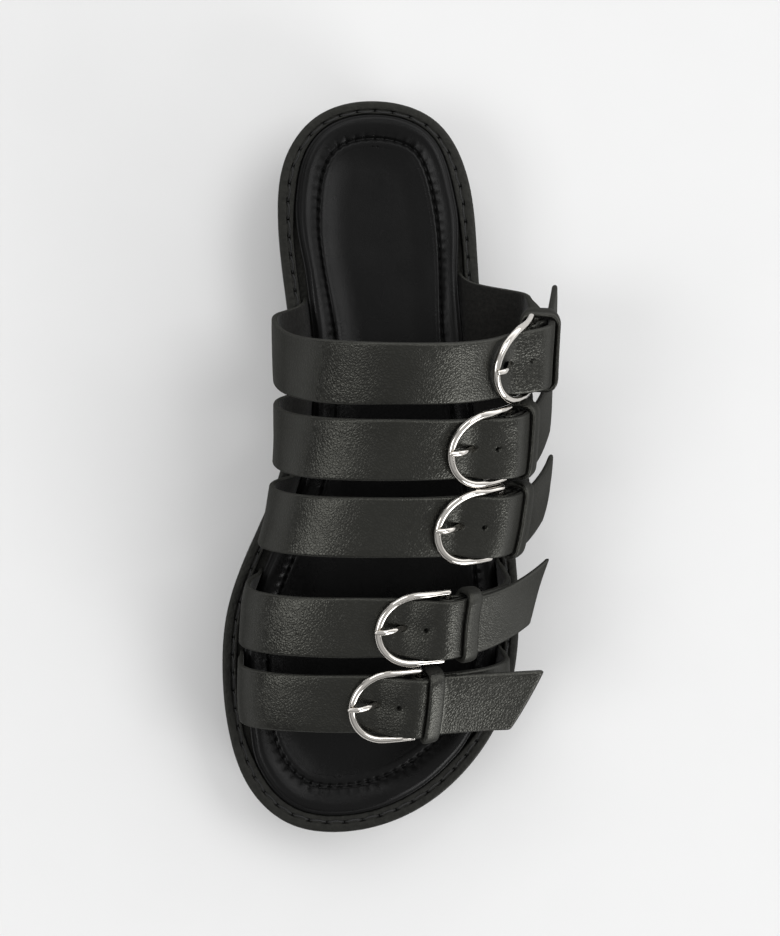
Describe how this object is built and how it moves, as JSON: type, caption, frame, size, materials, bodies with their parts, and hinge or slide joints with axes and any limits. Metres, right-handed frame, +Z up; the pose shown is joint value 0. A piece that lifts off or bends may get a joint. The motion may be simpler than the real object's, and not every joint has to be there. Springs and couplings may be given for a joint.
{
  "type": "slide sandal",
  "caption": "Black leather slide sandal for the left foot, with buckled straps over a padded footbed and a flat-rimmed rubber sole.",
  "frame": {"origin": "on the floor, under the middle of the heel's flat tread", "axes": "+Y to the heel's end, -Y to the toe, -X to the big-toe side, +X to the buckle side, +Z up"},
  "size_m": [0.1206, 0.2651, 0.0951],
  "materials": {
    "sole_rubber": "matt black",
    "footbed_leather": "smooth black, semi-matt",
    "strap_leather": "black pebbled nappa, semi-matt",
    "nickel": "polished nickel plate"
  },
  "bodies": {
    "root": {"outsole": "sole_rubber", "insole": "footbed_leather", "strap_1": "strap_leather", "tab_1": "strap_leather", "keeper_1": "strap_leather", "buckle_1": "nickel", "prong_1": "nickel", "strap_2": "strap_leather", "tab_2": "strap_leather", "keeper_2": "strap_leather", "buckle_2": "nickel", "prong_2": "nickel", "strap_3": "strap_leather", "tab_3": "strap_leather", "keeper_3": "strap_leather", "buckle_3": "nickel", "prong_3": "nickel", "strap_4": "strap_leather", "tab_4": "strap_leather", "keeper_4": "strap_leather", "buckle_4": "nickel", "prong_4": "nickel", "strap_5": "strap_leather", "tab_5": "strap_leather", "keeper_5": "strap_leather", "buckle_5": "nickel", "prong_5": "nickel"}
  },
  "joints": []
}
